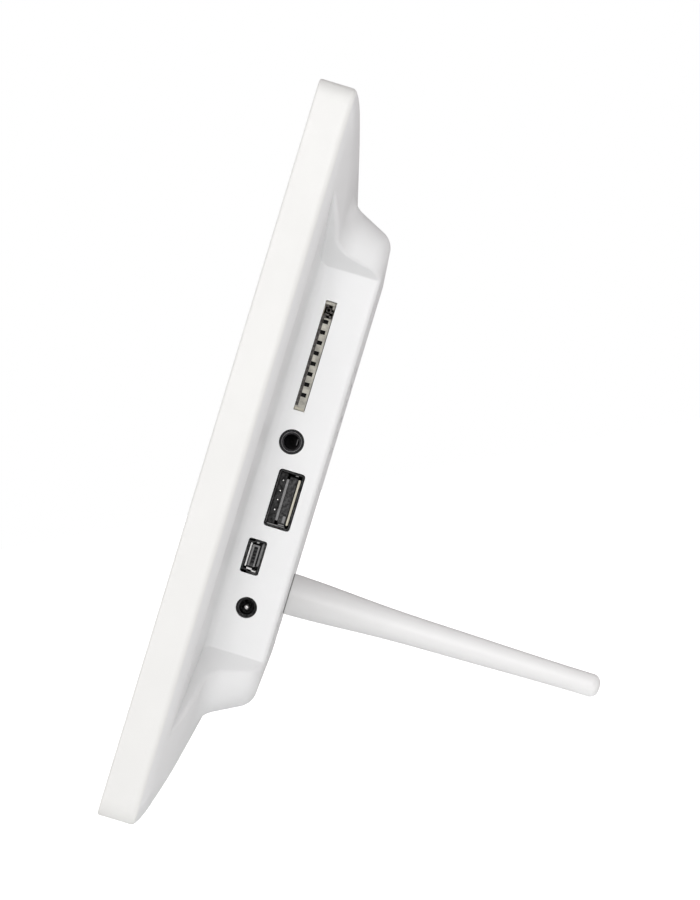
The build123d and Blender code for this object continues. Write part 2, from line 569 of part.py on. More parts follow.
with BuildPart() as audio_contacts:
    for step in (4.0, 7.5):
        with BuildSketch(port_plane(AUDIO_Y, AUDIO_DEPTH + 3.1, SOCKET_FACE + step)):
            Rectangle(1.2, 0.3)
        extrude(amount=2.0)
save(audio_contacts, "audio_contacts")

USB_MOUTH, USB_LONG = 0.6, 14.0
USB_TONGUE_Y, USB_TONGUE_W, USB_TONGUE_H = 0.75, 11.1, 1.84
USB_CONTACT_Y = (-3.5, -1.0, 1.0, 3.5)
with BuildPart() as usb_shell:
    with BuildSketch(port_plane(USB_Y, USB_DEPTH, USB_MOUTH)):
        RectangleRounded(USB_W, USB_H, 0.6)
        RectangleRounded(USB_W - 2 * SHEET, USB_H - 2 * SHEET, 0.3, mode=Mode.SUBTRACT)
    extrude(amount=USB_LONG)
save(usb_shell, "usb_a_shell")

USB_BLOCK = 4.0
with BuildPart() as usb_tongue:
    with BuildSketch(port_plane(USB_Y, USB_DEPTH, USB_MOUTH + USB_LONG - USB_BLOCK)):
        RectangleRounded(USB_W - 2 * SHEET - FIT, USB_H - 2 * SHEET - FIT, 0.3)
    extrude(amount=USB_BLOCK - 0.2)
    with BuildSketch(port_plane(USB_Y, USB_DEPTH + USB_TONGUE_Y, USB_MOUTH + 0.5)):
        Rectangle(USB_TONGUE_W, USB_TONGUE_H)
    extrude(amount=USB_LONG - USB_BLOCK)
save(usb_tongue, "usb_a_tongue")

USB_CONTACT_DEPTH = USB_DEPTH + USB_TONGUE_Y - USB_TONGUE_H / 2 - 0.1
with BuildPart() as usb_contacts:
    with BuildSketch(port_plane(USB_Y, USB_CONTACT_DEPTH, USB_MOUTH + 1.2)):
        with Locations(*((y, 0) for y in USB_CONTACT_Y)):
            Rectangle(1.0, 0.2)
    extrude(amount=USB_LONG - USB_BLOCK - 1.2)
save(usb_contacts, "usb_a_contacts")

with BuildPart() as usb_stand_off:
    with BuildSketch(port_plane(USB_Y, 0, USB_MOUTH + USB_LONG - 10)):
        with Locations((0, (BOARD_BACK + USB_DEPTH - USB_H / 2) / 2)):
            Rectangle(USB_W, USB_DEPTH - USB_H / 2 - BOARD_BACK)
    extrude(amount=10)
save(usb_stand_off, "usb_a_spacer")

MINI_MOUTH, MINI_LONG, MINI_SHEET = 0.35, 8.5, 0.3


def mini_outline(shrink):
    """The stepped outline of a mini-B socket: wide at the back, narrower at the front."""
    half_wide, half_narrow = MINI_W / 2 - shrink, MINI_NARROW / 2 - shrink
    top, bottom, step = MINI_H / 2 - shrink, -MINI_H / 2 + shrink, -0.2
    with BuildSketch() as outline:
        with BuildLine():
            Polyline(
                (-half_wide, top), (half_wide, top), (half_wide, step),
                (half_narrow, step - 0.7), (half_narrow, bottom), (-half_narrow, bottom),
                (-half_narrow, step - 0.7), (-half_wide, step), close=True,
            )
        make_face()
    return outline.sketch


with BuildPart() as mini_shell:
    with BuildSketch(port_plane(MINI_Y, MINI_DEPTH, MINI_MOUTH)):
        add(mini_outline(0))
        add(mini_outline(MINI_SHEET), mode=Mode.SUBTRACT)
    extrude(amount=MINI_LONG)
save(mini_shell, "mini_usb_shell")

MINI_TONGUE_W, MINI_TONGUE_H, MINI_BLOCK = 4.6, 0.9, 2.6
with BuildPart() as mini_tongue:
    with BuildSketch(port_plane(MINI_Y, MINI_DEPTH, MINI_MOUTH + MINI_LONG - MINI_BLOCK)):
        add(mini_outline(MINI_SHEET + FIT / 2))
    extrude(amount=MINI_BLOCK)
    with BuildSketch(port_plane(MINI_Y, MINI_DEPTH, MINI_MOUTH + 0.6)):
        Rectangle(MINI_TONGUE_W, MINI_TONGUE_H)
    extrude(amount=MINI_LONG - MINI_BLOCK)
save(mini_tongue, "mini_usb_tongue")

with BuildPart() as mini_contacts:
    with BuildSketch(port_plane(MINI_Y, MINI_DEPTH - MINI_TONGUE_H / 2 - 0.08, MINI_MOUTH + 1.0)):
        with GridLocations(0.8, 0, 5, 1):
            Rectangle(0.4, 0.16)
    extrude(amount=MINI_LONG - MINI_BLOCK - 1.0)
save(mini_contacts, "mini_usb_contacts")

DC_LONG, DC_SIZE = 11.0, 8.4
with BuildPart() as dc_jack:
    with BuildSketch(port_plane(DC_Y, 0, SOCKET_FACE)):
        with Locations((0, (BOARD_BACK + DC_DEPTH + DC_SIZE / 2) / 2)):
            Rectangle(DC_SIZE, DC_DEPTH + DC_SIZE / 2 - BOARD_BACK)
    extrude(amount=DC_LONG)
    with BuildSketch(port_plane(DC_Y, DC_DEPTH, SOCKET_FACE)):
        Circle(DC_BORE_R)
    extrude(amount=DC_LONG - 2, mode=Mode.SUBTRACT)
    with BuildSketch(port_plane(DC_Y, DC_DEPTH, SOCKET_FACE)):
        Circle(DC_HOLE_R - 0.05)
    extrude(amount=0.8, taper=30, mode=Mode.SUBTRACT)
save(dc_jack, "dc_jack")

with BuildPart() as dc_pin:
    with BuildSketch(port_plane(DC_Y, DC_DEPTH, SOCKET_FACE + 0.8)):
        Circle(DC_PIN_R)
    extrude(amount=DC_LONG - 2 - 0.8)
    fillet(dc_pin.edges().sort_by(Axis.X)[0], 0.3)
save(dc_pin, "dc_pin")

# =========================================================================== buttons
with BuildPart() as button_board:
    with BuildSketch(behind(BUTTON_BOARD_FRONT)):
        with Locations((0, BUTTON_Y)):
            RectangleRounded(95, 9, 1.0)
        with Locations(*BUTTON_SCREWS):
            Circle(1.2, mode=Mode.SUBTRACT)
    extrude(amount=BUTTON_BOARD_THICK)
save(button_board, "button_board")

button_screws = pan_screws(BUTTON_SCREWS, BUTTON_BOARD_FRONT, 21.5, 1.8, 0.9, 0.9 - SCREW_SLACK)
save(button_screws, "button_board_screws")

with BuildPart() as tact_switches:
    with BuildSketch(behind(BUTTON_BOARD_FRONT + BUTTON_BOARD_THICK)):
        with Locations((0, BUTTON_Y)):
            with GridLocations(BUTTON_PITCH, 0, len(BUTTON_NAMES), 1):
                Rectangle(SWITCH_SIZE, SWITCH_SIZE)
    extrude(amount=SWITCH_TOP - BUTTON_BOARD_FRONT - BUTTON_BOARD_THICK)
    with BuildSketch(behind(STEM_LOW - BUTTON_TRAVEL - 0.3)):
        with Locations((0, BUTTON_Y)):
            with GridLocations(BUTTON_PITCH, 0, len(BUTTON_NAMES), 1):
                Circle(STEM_R + 0.1)
    extrude(amount=SWITCH_TOP, mode=Mode.SUBTRACT)
save(tact_switches, "tact_switches")

BUTTON_X = tuple(BUTTON_PITCH * (i - (len(BUTTON_NAMES) - 1) / 2) for i in range(len(BUTTON_NAMES)))
FLANGE_TOP = COVER_BACK_IN - BUTTON_GAP
for button_name, button_x in zip(BUTTON_NAMES, BUTTON_X):
    with BuildPart() as button:
        with BuildSketch(behind(FLANGE_TOP - 0.8)):
            with Locations((button_x, BUTTON_Y)):
                SlotOverall(BUTTON_W + 1.8, BUTTON_H + 1.8)
        extrude(amount=0.8)
        with BuildSketch(behind(FLANGE_TOP)):
            with Locations((button_x, BUTTON_Y)):
                SlotOverall(BUTTON_W, BUTTON_H)
        extrude(amount=BACK_DEPTH + BUTTON_PROUD - FLANGE_TOP)
        fillet(button.faces().sort_by(Axis.Z)[-1].edges(), 0.35)
        with BuildSketch(behind(STEM_LOW)):
            with Locations((button_x, BUTTON_Y)):
                Circle(STEM_R)
        extrude(amount=FLANGE_TOP - 0.8 - STEM_LOW)
    save(button, f"button_{button_name}")

button_ribbon = ribbon(
    ((BUTTON_PLUG[1] + 2.2, RIBBON_DEPTH), (BUTTON_PLUG[1] + 5, RIBBON_DEPTH),
     (BUTTON_PLUG[1] + 5, BUTTON_BOARD_FRONT - RIBBON_THICK / 2),
     (BUTTON_Y, BUTTON_BOARD_FRONT - RIBBON_THICK / 2)),
    BUTTON_PLUG[0],
    8.0,
)
save(button_ribbon, "button_ribbon")

# =========================================================================== speakers
SPEAKER_TOP = COVER_BACK_IN - FIT
for side, speaker_x in SPEAKERS:
    with BuildPart() as speaker:
        with BuildSketch(behind(SPEAKER_FRONT)):
            with Locations((speaker_x, SPEAKER_Y)):
                Circle(SPEAKER_R)
        extrude(amount=SPEAKER_TOP - SPEAKER_FRONT)
        with BuildSketch(behind(MAGNET_FRONT)):
            with Locations((speaker_x, SPEAKER_Y)):
                Circle(7.0)
        extrude(amount=SPEAKER_FRONT - MAGNET_FRONT)
        with BuildSketch(behind(SPEAKER_FRONT + 1)):
            with Locations((speaker_x, SPEAKER_Y)):
                Circle(6.0)
        with BuildSketch(behind(SPEAKER_TOP)):
            with Locations((speaker_x, SPEAKER_Y)):
                Circle(SPEAKER_R - 1.2)
        loft(mode=Mode.SUBTRACT)
    save(speaker, f"speaker_{side}")
    cone_section = Plane(origin=(speaker_x, SPEAKER_Y, 0), x_dir=(1, 0, 0), z_dir=(0, -1, 0))
    with BuildPart() as cone:
        with BuildSketch(cone_section):
            with BuildLine():
                Polyline(
                    (0, SPEAKER_FRONT + 1.6), (5, SPEAKER_FRONT + 1.6),
                    (SPEAKER_R - 2.2, SPEAKER_TOP - 0.4), (SPEAKER_R - 2.2, SPEAKER_TOP - 0.2),
                    (SPEAKER_R - 2.6, SPEAKER_TOP - 0.2), (5, SPEAKER_FRONT + 2.0),
                    (0, SPEAKER_FRONT + 2.0), close=True,
                )
            make_face()
        revolve(axis=Axis((speaker_x, SPEAKER_Y, 0), (0, 0, 1)))
    save(cone, f"speaker_cone_{side}")

LEAD_R, LEAD_BEND = 0.6, 2.0
LEAD_DEPTH = BOARD_BACK + PLUG_H + LEAD_R
LEAD_ENDS = {"left": (-27.5, -27.0), "right": (27.5, -27.0)}
LEAD_VIA = {"left": ((-20.0, -20.0),), "right": ((12.0, -13.0), (22.0, -21.0))}
for side, _ in SPEAKERS:
    plug_x, plug_y = SPEAKER_PLUGS[side]
    corners = [(plug_x, plug_y), *LEAD_VIA[side], LEAD_ENDS[side]]
    route_points = [(x, y, LEAD_DEPTH) for x, y in corners]
    with BuildPart() as lead:
        with BuildLine() as lead_route:
            FilletPolyline(*route_points, radius=LEAD_BEND)
        with BuildSketch(lead_route.line ^ 0):
            Circle(LEAD_R)
        sweep()
    save(lead, f"speaker_lead_{side}")

# =========================================================================== stand
ROD_AXIS = Axis((0, ROD_Y, 0), (0, 0, 1))
rod_section = Plane(origin=(0, ROD_Y, ROD_BASE), x_dir=(1, 0, 0), z_dir=(0, -1, 0))
with BuildPart() as stand_rod:
    with BuildSketch(rod_section):
        with BuildLine():
            Spline(*ROD_PROFILE, tangents=((-0.02, 1), (0, 1)))
            RadiusArc((TIP_R, TIP_AT), (TIP_R - TIP_ROUND, TIP_AT + TIP_ROUND), -TIP_ROUND)
            Polyline(
                (TIP_R - TIP_ROUND, TIP_AT + TIP_ROUND),
                (0, TIP_AT + TIP_ROUND),
                (0, 0),
                (ROD_PROFILE[0][0], 0),
            )
        make_face()
    revolve(axis=ROD_AXIS)
    with BuildSketch(behind(ROD_BASE)):
        with Locations((0, ROD_Y)):
            Circle(STUD_R)
    extrude(amount=STUD_IN_ROD, mode=Mode.SUBTRACT)
save(stand_rod, "stand_rod")

with BuildPart() as stand_stud:
    with BuildSketch(behind(STUD_LOW)):
        with Locations((0, ROD_Y)):
            Circle(STUD_R)
    extrude(amount=ROD_BASE + STUD_IN_ROD - STUD_LOW)
    chamfer(stand_stud.edges().sort_by(Axis.Z)[0], 0.6)
save(stand_stud, "stand_stud")

with BuildPart() as stand_insert:
    with BuildSketch(behind(INSERT_LOW)):
        with Locations((0, ROD_Y)):
            Circle(INSERT_R)
            Circle(STUD_R + STUD_GAP, mode=Mode.SUBTRACT)
    extrude(amount=SEAT_DEPTH - INSERT_LOW)
save(stand_insert, "stand_insert")

with BuildPart() as stand_washer:
    with BuildSketch(behind(SEAT_DEPTH + 0.05)):
        with Locations((0, ROD_Y)):
            Circle(WASHER_R)
            Circle(STUD_R + STUD_GAP, mode=Mode.SUBTRACT)
    extrude(amount=WASHER_THICK)
save(stand_washer, "stand_washer")
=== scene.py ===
"""Looks for the digital photo frame: materials, fine pieces, studio and camera."""

import json
import math

import bmesh
import bpy
from mathutils import Matrix, Vector


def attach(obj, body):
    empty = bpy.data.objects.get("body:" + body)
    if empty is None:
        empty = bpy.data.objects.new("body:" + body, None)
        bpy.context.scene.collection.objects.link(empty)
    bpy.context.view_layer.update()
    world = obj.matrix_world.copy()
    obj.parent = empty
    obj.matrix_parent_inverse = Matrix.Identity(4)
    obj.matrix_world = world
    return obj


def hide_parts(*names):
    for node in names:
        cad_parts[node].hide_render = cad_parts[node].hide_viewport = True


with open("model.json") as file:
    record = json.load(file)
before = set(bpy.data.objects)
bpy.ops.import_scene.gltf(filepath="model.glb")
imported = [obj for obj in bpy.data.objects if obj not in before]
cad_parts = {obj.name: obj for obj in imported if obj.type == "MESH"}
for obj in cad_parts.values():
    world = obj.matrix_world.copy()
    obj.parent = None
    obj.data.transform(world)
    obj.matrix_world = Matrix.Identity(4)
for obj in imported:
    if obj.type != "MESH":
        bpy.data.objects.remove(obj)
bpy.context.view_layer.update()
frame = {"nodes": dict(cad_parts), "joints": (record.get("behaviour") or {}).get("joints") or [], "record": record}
MM = 0.001

# ---- the panel's own directions, read from the joint that turns the stand rod ---------
TURN = next(joint for joint in frame["joints"] if joint["name"] == "stand_turn")
OUT = Vector(TURN["axis"]).normalized()
UP = Vector((0, -OUT.z, OUT.y))
SIDE = Vector((1, 0, 0))
ROD_FOOT = Vector(TURN["pos_m"])
ROD_UP, BACK = -30.9, 25.75  # where the rod meets the back: up the panel and behind its front, in mm


def at(side, up, deep):
    """A place in mm: to the socket side, up the panel from its middle, behind its front."""
    return ROD_FOOT + (SIDE * side + UP * (up - ROD_UP) + OUT * (deep - BACK)) * MM


# ======================================================================== materials
def new_material(name):
    material = bpy.data.materials.new(name)
    material.use_nodes = True
    nodes = material.node_tree.nodes
    return material, nodes, material.node_tree.links, nodes["Principled BSDF"]


def place(nodes):
    """Object coordinates, the same on every piece because each one sits at the origin."""
    return nodes.new("ShaderNodeTexCoord").outputs["Object"]


def noise(nodes, links, size_mm, detail=3.0, vector=None):
    """A noise whose blobs are about size_mm across."""
    texture = nodes.new("ShaderNodeTexNoise")
    texture.inputs["Scale"].default_value = 1 / (size_mm * MM)
    texture.inputs["Detail"].default_value = detail
    links.new(vector or place(nodes), texture.inputs["Vector"])
    return texture.outputs["Fac"]


def ramp(nodes, links, source, low, high, start=0.3, end=0.7):
    """source spread between two colours or grey levels."""
    blend = nodes.new("ShaderNodeValToRGB")
    for element, value, spot in zip(blend.color_ramp.elements, (low, high), (start, end)):
        element.position = spot
        element.color = (*value, 1) if isinstance(value, tuple) else (value, value, value, 1)
    links.new(source, blend.inputs["Fac"])
    return blend.outputs["Color"]


def bump(nodes, links, shader, height, strength, depth_mm):
    """Relief of depth_mm from a height."""
    relief = nodes.new("ShaderNodeBump")
    relief.inputs["Strength"].default_value = strength
    relief.inputs["Distance"].default_value = depth_mm * MM
    links.new(height, relief.inputs["Height"])
    links.new(relief.outputs["Normal"], shader.inputs["Normal"])


def shade(colour, factor):
    return tuple(channel * factor for channel in colour)


def plastic(name, colour, rough=0.4, grain_mm=0.25, relief_mm=0.004, mottle=0.025, specular=0.5,
            cloud_mm=14.0):
    """Moulded plastic: a fine spark-eroded grain, faint cloudiness and uneven gloss."""
    material, nodes, links, shader = new_material(name)
    cloud = noise(nodes, links, cloud_mm)
    links.new(ramp(nodes, links, cloud, shade(colour, 1 - mottle), colour), shader.inputs["Base Color"])
    polish = noise(nodes, links, 3.0)
    links.new(ramp(nodes, links, polish, rough - 0.05, rough + 0.05), shader.inputs["Roughness"])
    bump(nodes, links, shader, noise(nodes, links, grain_mm, 2.0), 0.5, relief_mm)
    shader.inputs["Specular IOR Level"].default_value = specular
    return material


def metal(name, colour, rough=0.3, brush_mm=(0.08, 3.0, 3.0), wear=0.12):
    """Sheet or turned metal with fine brushing and darker patches."""
    material, nodes, links, shader = new_material(name)
    shader.inputs["Metallic"].default_value = 1.0
    stretch = nodes.new("ShaderNodeMapping")
    stretch.inputs["Scale"].default_value = tuple(1 / size for size in brush_mm)
    links.new(place(nodes), stretch.inputs["Vector"])
    lines = noise(nodes, links, 1.0, 4.0, stretch.outputs["Vector"])
    patches = noise(nodes, links, 2.5)
    links.new(ramp(nodes, links, patches, shade(colour, 1 - wear), colour), shader.inputs["Base Color"])
    links.new(ramp(nodes, links, lines, rough - 0.08, rough + 0.1), shader.inputs["Roughness"])
    bump(nodes, links, shader, lines, 0.3, 0.003)
    return material


def circuit_board(name):
    """Green solder mask over raised tracks, with small round pads."""
    material, nodes, links, shader = new_material(name)
    tracks = nodes.new("ShaderNodeTexBrick")
    tracks.inputs["Scale"].default_value = 160.0
    tracks.inputs["Mortar Size"].default_value = 0.06
    for socket, colour in (("Color1", (0.012, 0.11, 0.05)), ("Color2", (0.014, 0.13, 0.06)),
                           ("Mortar", (0.03, 0.22, 0.10))):
        tracks.inputs[socket].default_value = (*colour, 1)
    links.new(place(nodes), tracks.inputs["Vector"])
    links.new(tracks.outputs["Color"], shader.inputs["Base Color"])
    bump(nodes, links, shader, tracks.outputs["Fac"], 0.6, 0.03)
    shader.inputs["Roughness"].default_value = 0.35
    return material


def screen_glass(name):
    """The display switched off: dark, with the faint anti-glare tooth of its film."""
    material, nodes, links, shader = new_material(name)
    tint = noise(nodes, links, 60.0)
    links.new(ramp(nodes, links, tint, (0.010, 0.011, 0.014), (0.014, 0.015, 0.019)),
              shader.inputs["Base Color"])
    gloss = noise(nodes, links, 8.0)
    links.new(ramp(nodes, links, gloss, 0.24, 0.3), shader.inputs["Roughness"])
    bump(nodes, links, shader, noise(nodes, links, 0.12, 2.0), 0.15, 0.001)
    shader.inputs["Coat Weight"].default_value = 0.12
    shader.inputs["Coat Roughness"].default_value = 0.15
    return material


def rubber(name, colour, rough=0.75):
    """Soft foam or rubber with open pores."""
    material, nodes, links, shader = new_material(name)
    pores = nodes.new("ShaderNodeTexVoronoi")
    pores.inputs["Scale"].default_value = 1 / (0.4 * MM)
    links.new(place(nodes), pores.inputs["Vector"])
    links.new(ramp(nodes, links, pores.outputs["Distance"], shade(colour, 0.6), colour, 0.0, 0.5),
              shader.inputs["Base Color"])
    bump(nodes, links, shader, pores.outputs["Distance"], 0.5, 0.05)
    shader.inputs["Roughness"].default_value = rough
    return material


MATERIALS = {
    "bezel_white": plastic("bezel_white", (0.857, 0.865, 0.845), 0.42),
    "cover_white": plastic("cover_white", (0.855, 0.866, 0.866), 0.46),
    "rod_white": plastic("rod_white", (0.94, 0.945, 0.94), 0.33, 0.4, 0.002),
    "button_white": plastic("button_white", (0.84, 0.84, 0.85), 0.3, 0.4, 0.002),
    "screen_glass": screen_glass("screen_glass"),
    "clear_acrylic": plastic("clear_acrylic", (0.75, 0.79, 0.79), 0.12, 2.0, 0.002),
    "tray_white": plastic("tray_white", (0.78, 0.78, 0.77), 0.5),
    "steel": metal("steel", (0.62, 0.61, 0.60), 0.28),
    "screw_steel": metal("screw_steel", (0.50, 0.50, 0.52), 0.33, (0.2, 0.2, 0.2)),
    "brass": metal("brass", (0.72, 0.52, 0.22), 0.25, (0.5, 0.5, 0.05)),
    "contact_gold": metal("contact_gold", (0.83, 0.66, 0.32), 0.2),
    "black_plastic": plastic("black_plastic", (0.014, 0.014, 0.015), 0.55, 0.2, 0.006, 0.3, 0.06),
    "beige_plastic": plastic("beige_plastic", (0.66, 0.63, 0.53), 0.6, 0.2, 0.006, 0.12, 0.1),
    # A lighter copy of the beige plastic for the deep end of the card slot: painted light where little light
    # reaches.
    "beige_painted_light": plastic("beige_painted_light", (0.74, 0.72, 0.64), 0.6, 0.3, 0.01, 0.45, 0.1, 1.2),
    # Grey plastics standing in for socket steel and black plastic at the tone light leaves them: the light grey is
    # painted light and painted highlight, the mid grey is steel in painted shade, and the heavily mottled dark
    # grey is painted shade on steel and painted sheen on black plastic.
    "socket_painted_light": plastic("socket_painted_light", (0.30, 0.30, 0.30), 0.6, 0.2, 0.006, 0.3, 0.1, 0.8),
    "steel_painted_shade_grey": plastic("steel_painted_shade_grey", (0.17, 0.16, 0.15), 0.6, 0.2, 0.006, 0.7, 0.1, 0.7),
    "socket_painted_shade_and_sheen": plastic("socket_painted_shade_and_sheen", (0.10, 0.10, 0.10), 0.6, 0.2, 0.006, 0.85, 0.06, 0.7),
    "jack_dark": plastic("jack_dark", (0.04, 0.04, 0.042), 0.6, 0.2, 0.006, 0.5, 0.06, 0.8),
    # Gold contacts painted near-black brown, as plastic: painted shade for the depth of the sockets they sit in.
    "gold_in_painted_shade": plastic("gold_in_painted_shade", (0.05, 0.035, 0.015), 0.6, 0.5, 0.006, 0.3, 0.1),
    "board_green": circuit_board("board_green"),
    "chip_black": plastic("chip_black", (0.022, 0.022, 0.024), 0.6, 0.15, 0.01, 0.2),
    "foam": rubber("foam", (0.03, 0.03, 0.03), 0.9),
    "washer_rubber": rubber("washer_rubber", (0.45, 0.45, 0.44)),
    "cone_paper": rubber("cone_paper", (0.05, 0.045, 0.04), 0.85),
    "ribbon_amber": plastic("ribbon_amber", (0.45, 0.22, 0.04), 0.25, 1.0, 0.01, 0.25),
    "lead_sleeve": plastic("lead_sleeve", (0.35, 0.02, 0.02), 0.35),
}
SLOT_OF = {entry["node"]: entry["material_slot"] for entry in frame["record"]["subparts"]}

# Painted tones for the socket parts seen from outside: the steel shells and gold contacts get dark grey and dark
# brown colours, a painted shade for the recesses they sit in, and the black jacks and tongues get a mottled grey,
# a painted sheen.
PAINTED_SHADE_AND_SHEEN_LOOKS = {"usb_a_shell": "socket_painted_shade_and_sheen", "mini_usb_shell": "socket_painted_shade_and_sheen", "sd_socket_shell": "steel_painted_shade_grey",
        "audio_jack": "jack_dark", "dc_jack": "socket_painted_shade_and_sheen", "mini_usb_tongue": "socket_painted_shade_and_sheen",
        "usb_a_contacts": "gold_in_painted_shade"}
for node, thing in frame["nodes"].items():
    thing.data.materials.clear()
    thing.data.materials.append(MATERIALS[PAINTED_SHADE_AND_SHEEN_LOOKS.get(node, SLOT_OF[node])])


# ======================================================================== fine pieces
def finished(name, mesh, slot, body, look=None, smooth=True):
    """A new piece in the scene, with its material slot and the body that it rides on."""
    piece = bpy.data.objects.new(name, mesh)
    bpy.context.scene.collection.objects.link(piece)
    mesh.materials.append(MATERIALS[look or slot])
    mesh.polygons.foreach_set("use_smooth", [smooth] * len(mesh.polygons))
    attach(piece, body)
    return piece


def slabs(name, slot, boxes, bevel=0.05, body="case", look=None):
    """One piece of bevelled blocks, each given in mm as side, up and depth limits."""
    work = bmesh.new()
    for side, up, deep in boxes:
        corners = [work.verts.new(at(x, y, z)) for x in side for y in up for z in deep]
        for face in ((0, 1, 3, 2), (4, 6, 7, 5), (0, 4, 5, 1), (2, 3, 7, 6), (0, 2, 6, 4), (1, 5, 7, 3)):
            work.faces.new([corners[k] for k in face])
    bmesh.ops.bevel(work, geom=work.edges[:], offset=bevel * MM, segments=2, affect="EDGES")
    bmesh.ops.recalc_face_normals(work, faces=work.faces)
    mesh = bpy.data.meshes.new(name)
    work.to_mesh(mesh)
    work.free()
    return finished(name, mesh, slot, body, look, smooth=False)


def turned(name, slot, centre, profile, body="case", look=None, steps=48):
    """A piece turned about a line out of the sockets: profile gives radius and side in mm."""
    work = bmesh.new()
    rows = []
    for radius, side in profile:
        row = []
        for k in range(steps):
            angle = 2 * math.pi * k / steps
            row.append(work.verts.new(at(side, centre[0] + radius * math.cos(angle),
                                         centre[1] + radius * math.sin(angle))))
        rows.append(row)
    for near, far in zip(rows, rows[1:] + rows[:1]):
        for k in range(steps):
            work.faces.new((near[k], near[(k + 1) % steps], far[(k + 1) % steps], far[k]))
    bmesh.ops.remove_doubles(work, verts=work.verts, dist=0.001 * MM)
    bmesh.ops.recalc_face_normals(work, faces=work.faces)
    mesh = bpy.data.meshes.new(name)
    work.to_mesh(mesh)
    work.free()
    return finished(name, mesh, slot, body, look)


def wire(name, slot, points, thick, body="case", look=None):
    """A round wire along points given in row-frame metres."""
    path = bpy.data.curves.new(name, "CURVE")
    path.dimensions = "3D"
    path.bevel_depth = thick / 2 * MM
    path.bevel_resolution = 3
    path.use_fill_caps = True
    line = path.splines.new("POLY")
    line.points.add(len(points) - 1)
    for spot, point in zip(line.points, points):
        spot.co = (*point, 1)
    line.use_smooth = True
    piece = bpy.data.objects.new(name, path)
    bpy.context.scene.collection.objects.link(piece)
    path.materials.append(MATERIALS[look or slot])
    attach(piece, body)
    return piece


def card_slot():
    """Inside the card slot: its windowed end wall, spring contacts, guide, spring and catch. The end wall and its
    toe are painted a lighter beige, painted light; the contacts are painted near-black and the steel guide, spring
    and catch dark grey, all painted shade.
    """
    contacts, pitch, first = 8, 2.5, 34.75
    half_window, half_lining, half_spring = 0.48, 0.75, 0.3
    windows = [first - pitch * k for k in range(contacts)]
    # Gold springs painted near-black: painted shade.
    springs = slabs("card_contact_springs", "contact_gold",
                    [((70.0, 71.5), (y - half_spring, y + half_spring), (16.0, 16.2)) for y in windows],
                    0.03, look="gold_in_painted_shade")
    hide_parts("sd_contacts")
    bars = [35.6] + [y + pitch / 2 for y in windows[1:]] + [15.6]
    face, row = (75.2, 76.2), (15.7, 16.95)
    # End wall in the lighter beige: painted light.
    slabs("card_slot_face", "beige_plastic",
          [(face, (y + half_window, high), row) for y, high in zip(windows, bars)]
          + [(face, (low, y - half_window), row) for y, low in zip(windows, bars[1:])]
          + [(face, (13.9, 35.6), (16.88, 17.5)), (face, (13.9, 15.7), (15.1, 16.95))],
          0.03, look="beige_painted_light")
    # Steel guide strips painted dark grey; the one along the slot's front side is a painted shadow band.
    slabs("card_slot_guide", "steel",
          [((75.3, 76.5), (14.6, 35.6), (15.0, 15.72)),
           ((75.3, 76.9), (35.5, 36.0), (15.1, 16.0)),
           ((76.4, 77.2), (13.8, 38.9), (17.44, 17.56))],
          0.05, look="steel_painted_shade_grey")
    slabs("card_window_linings", "black_plastic",
          [((74.0, 75.1), (y - half_lining, y + half_lining), (15.6, 17.1)) for y in windows], 0.05)
    slabs("card_slot_heel", "beige_plastic", [((75.8, 76.6), (13.6, 14.2), (15.1, 17.5))], 0.1)
    coil, turns, steps, coil_r, coil_pitch = [], 6, 20, 0.5, 0.8
    for k in range(turns * steps + 1):
        angle = 2 * math.pi * k / steps
        coil.append(at(77.0 - coil_pitch * k / steps, 37.5 + coil_r * math.cos(angle),
                       16.2 + coil_r * math.sin(angle)))
    # Eject spring and catch: steel painted dark grey, painted shade.
    wire("card_eject_spring", "steel", coil, 0.2, look="steel_painted_shade_grey")
    slabs("card_catch", "steel",
          [((75.2, 76.6), (36.2, 36.6), (15.4, 16.6)), ((75.2, 76.8), (35.7, 36.3), (16.7, 17.2)),
           ((75.6, 76.8), (36.9, 37.3), (16.6, 17.3)), ((75.6, 76.6), (38.1, 38.6), (15.2, 16.0))],
          0.06, look="steel_painted_shade_grey")
    # Toe in the lighter beige: painted light.
    slabs("card_slot_toe", "beige_plastic",
          [((75.8, 76.9), (38.7, 39.35), (15.1, 17.4)), ((75.8, 76.6), (37.8, 38.8), (16.9, 17.4))],
          0.1, look="beige_painted_light")


def headphone_socket():
    """The thin ring round the headphone bore, and the contact spring inside it, both steel painted light grey: a
    painted highlight on the ring's edge and a painted glint on the spring.
    """
    turned("headphone_ring", "steel", (6.2, 16.8),
           ((2.2, 77.5), (2.38, 77.5), (2.38, 77.72), (2.3, 77.8), (2.2, 77.72)), look="socket_painted_light")
    slabs("headphone_spring", "steel",
          [((71.0, 76.2), (5.7, 7.2), (17.95, 18.08)), ((76.0, 76.9), (5.75, 7.0), (18.02, 18.12))],
          0.03, look="socket_painted_light")


